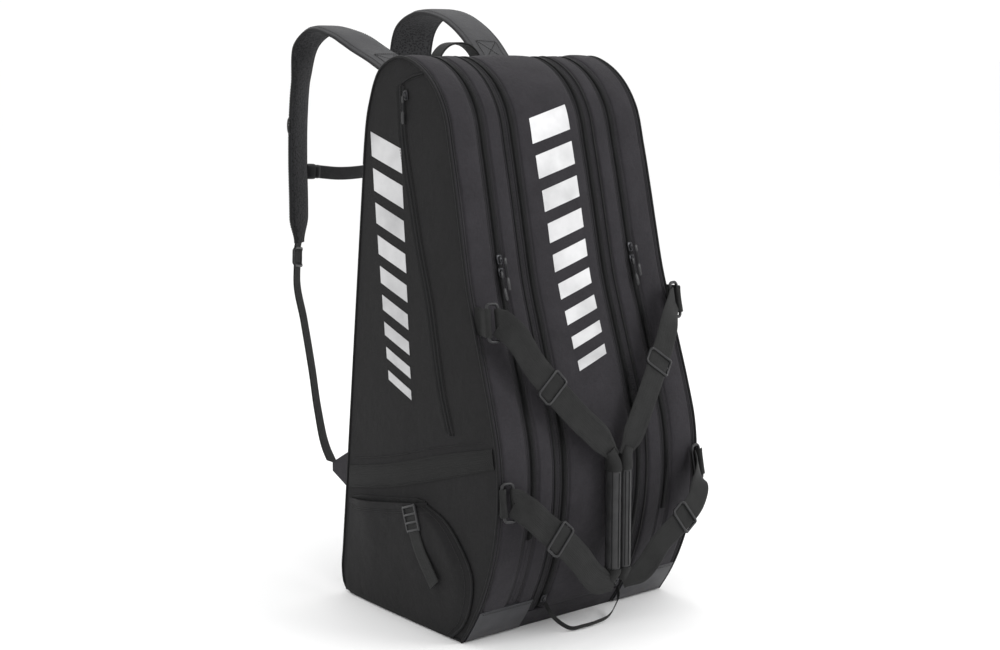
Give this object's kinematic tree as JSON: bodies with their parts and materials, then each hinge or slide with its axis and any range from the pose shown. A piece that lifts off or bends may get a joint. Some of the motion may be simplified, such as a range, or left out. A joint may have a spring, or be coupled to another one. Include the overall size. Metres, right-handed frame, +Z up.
{
  "type": "racket bag",
  "caption": "Tall tapered bag for rackets with zipped side compartments, a front flap, backpack straps and ring-hung carry handles.",
  "frame": {"origin": "centre of the flat base, on the floor", "axes": "+Z up the bag, +Y out of the back panel, +X to the side away from the ladder buckle"},
  "size_m": [0.3897, 0.6651, 0.8369],
  "materials": {
    "shell_fabric": "matte polyester weave",
    "coated_fabric": "coated satin",
    "webbing": "matte ribbed",
    "mesh_padding": "air mesh over foam",
    "elastic": "matte",
    "puller_cord": "matte cord",
    "grip_leather": "satin",
    "plastic": "satin",
    "zip_metal": "black lacquer"
  },
  "bodies": {
    "bag": {"centre_compartment_tub": "shell_fabric", "left_compartment_tub": "shell_fabric", "right_compartment_tub": "shell_fabric", "left_toe_patch": "coated_fabric", "right_toe_patch": "coated_fabric", "back_panel_pad": "mesh_padding", "strap_yoke": "webbing", "left_side_pocket": "shell_fabric", "right_side_pocket": "shell_fabric", "ladder_buckle": "plastic", "ladder_buckle_webbing": "webbing", "left_strap_anchor": "webbing", "right_strap_anchor": "webbing"},
    "front_flap": {"centre_front_flap": "shell_fabric"},
    "centre_zip_pair": {"centre_zip_slider_left": "zip_metal", "centre_zip_slider_right": "zip_metal", "linking_tape": "webbing"},
    "grab_handle": {"grab_handle": "webbing"},
    "left_cover": {"left_side_cover": "shell_fabric", "left_side_band": "webbing", "left_upper_ring_tab": "webbing", "left_lower_ring_tab": "webbing", "left_upper_ring": "plastic", "left_lower_ring": "plastic"},
    "left_handle": {"left_handle_upper_webbing": "webbing", "left_handle_lower_webbing": "webbing", "left_grip": "grip_leather"},
    "right_cover": {"right_side_cover": "shell_fabric", "right_side_band": "webbing", "right_upper_ring_tab": "webbing", "right_lower_ring_tab": "webbing", "right_upper_ring": "plastic", "right_lower_ring": "plastic"},
    "right_handle": {"right_handle_upper_webbing": "webbing", "right_handle_lower_webbing": "webbing", "right_grip": "grip_leather"},
    "left_upper_glide": {"left_upper_tri_glide": "plastic"},
    "left_lower_glide": {"left_lower_tri_glide": "plastic"},
    "right_upper_glide": {"right_upper_tri_glide": "plastic"},
    "right_lower_glide": {"right_lower_tri_glide": "plastic"},
    "left_upper_zip": {"left_zip_slider_upper": "zip_metal"},
    "left_upper_zip_pull": {"left_zip_puller_upper": "puller_cord"},
    "left_lower_zip": {"left_zip_slider_lower": "zip_metal"},
    "left_lower_zip_pull": {"left_zip_puller_lower": "puller_cord"},
    "right_upper_zip": {"right_zip_slider_upper": "zip_metal"},
    "right_upper_zip_pull": {"right_zip_puller_upper": "puller_cord"},
    "right_lower_zip": {"right_zip_slider_lower": "zip_metal"},
    "right_lower_zip_pull": {"right_zip_puller_lower": "puller_cord"},
    "left_pocket_zip": {"left_pocket_zip_slider": "zip_metal"},
    "left_pocket_zip_pull": {"left_pocket_zip_puller": "puller_cord"},
    "left_harness": {"left_shoulder_strap": "mesh_padding", "left_ladder_lock": "plastic", "left_strap_webbing": "webbing"},
    "left_sternum": {"sternum_webbing_left": "elastic", "sternum_buckle_female": "plastic"},
    "right_harness": {"right_shoulder_strap": "mesh_padding", "right_ladder_lock": "plastic", "right_strap_webbing": "webbing"},
    "right_sternum": {"sternum_webbing_right": "elastic", "sternum_buckle_male": "plastic"}
  },
  "joints": [
    {"name": "front_flap_hinge", "type": "hinge", "parent": "bag", "child": "front_flap", "pos_m": [0, -0.042, 0.7455], "axis": [-1, 0, 0], "range_deg": [0, 16]},
    {"name": "centre_zip_run", "type": "hinge", "parent": "front_flap", "child": "centre_zip_pair", "pos_m": [0, 0.142, 0.215], "axis": [-1, 0, 0], "range_deg": [0, 40], "deforming": ["linking_tape"]},
    {"name": "left_cover_hinge", "type": "hinge", "parent": "bag", "child": "left_cover", "pos_m": [-0.1783, 0.13431, 0.178], "axis": [-0.0179, 0.0912, -0.9957], "range_deg": [0, 15]},
    {"name": "left_handle_swing", "type": "hinge", "parent": "left_cover", "child": "left_handle", "pos_m": [-0.158, -0.2005, 0.3195], "axis": [-0.035, -0.1792, -0.9832], "range_deg": [0, 80]},
    {"name": "right_cover_hinge", "type": "hinge", "parent": "bag", "child": "right_cover", "pos_m": [0.1783, 0.13431, 0.178], "axis": [-0.0179, -0.0912, 0.9957], "range_deg": [0, 15]},
    {"name": "right_handle_swing", "type": "hinge", "parent": "right_cover", "child": "right_handle", "pos_m": [0.158, -0.2005, 0.3195], "axis": [-0.035, 0.1792, 0.9832], "range_deg": [0, 80]},
    {"name": "left_upper_glide_slide", "type": "slide", "parent": "left_handle", "child": "left_upper_glide", "axis": [0.6237, -0.1871, -0.7589], "range_m": [-0.004, 0.004]},
    {"name": "left_lower_glide_slide", "type": "slide", "parent": "left_handle", "child": "left_lower_glide", "axis": [0.7445, 0.0128, -0.6675], "range_m": [-0.004, 0.004]},
    {"name": "right_upper_glide_slide", "type": "slide", "parent": "right_handle", "child": "right_upper_glide", "axis": [-0.564, -0.1813, -0.8057], "range_m": [-0.004, 0.004]},
    {"name": "right_lower_glide_slide", "type": "slide", "parent": "right_handle", "child": "right_lower_glide", "axis": [-0.7865, 0.0242, -0.6171], "range_m": [-0.004, 0.004]},
    {"name": "left_upper_zip_slide", "type": "slide", "parent": "bag", "child": "left_upper_zip", "axis": [0.0118, 0.2366, 0.9715], "range_m": [0, 0.175]},
    {"name": "left_upper_zip_pull_lift", "type": "hinge", "parent": "left_upper_zip", "child": "left_upper_zip_pull", "pos_m": [-0.11348, -0.14276, 0.50771], "axis": [-1, 0, 0], "range_deg": [0, 100]},
    {"name": "left_lower_zip_slide", "type": "slide", "parent": "bag", "child": "left_lower_zip", "axis": [-0.0116, -0.298, -0.9545], "range_m": [0, 0.19]},
    {"name": "left_lower_zip_pull_lift", "type": "hinge", "parent": "left_lower_zip", "child": "left_lower_zip_pull", "pos_m": [-0.11948, -0.14346, 0.49038], "axis": [-1, 0, 0], "range_deg": [0, 100]},
    {"name": "right_upper_zip_slide", "type": "slide", "parent": "bag", "child": "right_upper_zip", "axis": [-0.0118, 0.2366, 0.9715], "range_m": [0, 0.175]},
    {"name": "right_upper_zip_pull_lift", "type": "hinge", "parent": "right_upper_zip", "child": "right_upper_zip_pull", "pos_m": [0.11928, -0.14274, 0.50778], "axis": [-1, 0, 0], "range_deg": [0, 100]},
    {"name": "right_lower_zip_slide", "type": "slide", "parent": "bag", "child": "right_lower_zip", "axis": [0.0116, -0.298, -0.9545], "range_m": [0, 0.19]},
    {"name": "right_lower_zip_pull_lift", "type": "hinge", "parent": "right_lower_zip", "child": "right_lower_zip_pull", "pos_m": [0.11368, -0.14348, 0.49031], "axis": [-1, 0, 0], "range_deg": [0, 100]},
    {"name": "left_pocket_zip_slide", "type": "slide", "parent": "left_cover", "child": "left_pocket_zip", "axis": [-0.0175, -0.2231, -0.9746], "range_m": [0, 0.3]},
    {"name": "left_pocket_zip_pull_lift", "type": "hinge", "parent": "left_pocket_zip", "child": "left_pocket_zip_pull", "pos_m": [-0.17685, -0.0067, 0.71338], "axis": [0, 1, 0], "range_deg": [0, 90]},
    {"name": "left_harness_swing", "type": "hinge", "parent": "bag", "child": "left_harness", "pos_m": [-0.115, 0.115, 0.45], "axis": [0, 0, 1], "range_deg": [-12, 12]},
    {"name": "left_sternum_pivot", "type": "hinge", "parent": "left_harness", "child": "left_sternum", "pos_m": [-0.1105, 0.3585, 0.598], "axis": [0, 0, 1], "range_deg": [-12, 12]},
    {"name": "right_harness_swing", "type": "hinge", "parent": "bag", "child": "right_harness", "pos_m": [0.0975, 0.1605, 0.45], "axis": [0, 0, 1], "range_deg": [-12, 12]},
    {"name": "right_sternum_pivot", "type": "hinge", "parent": "right_harness", "child": "right_sternum", "pos_m": [0.102, 0.404, 0.598], "axis": [0, 0, 1], "range_deg": [-12, 12]},
    {"name": "grab_handle_fold", "type": "hinge", "parent": "bag", "child": "grab_handle", "pos_m": [0, 0.105, 0.7], "axis": [-1, 0, 0], "range_deg": [-15, 75]}
  ],
  "couplings": [
    {"joint": "left_handle_swing", "follows": "front_flap_hinge", "ratio": 5},
    {"joint": "right_handle_swing", "follows": "front_flap_hinge", "ratio": 5},
    {"joint": "left_sternum_pivot", "follows": "left_harness_swing", "ratio": -1},
    {"joint": "right_sternum_pivot", "follows": "left_harness_swing", "ratio": -1},
    {"joint": "right_harness_swing", "follows": "left_harness_swing", "ratio": 1}
  ]
}
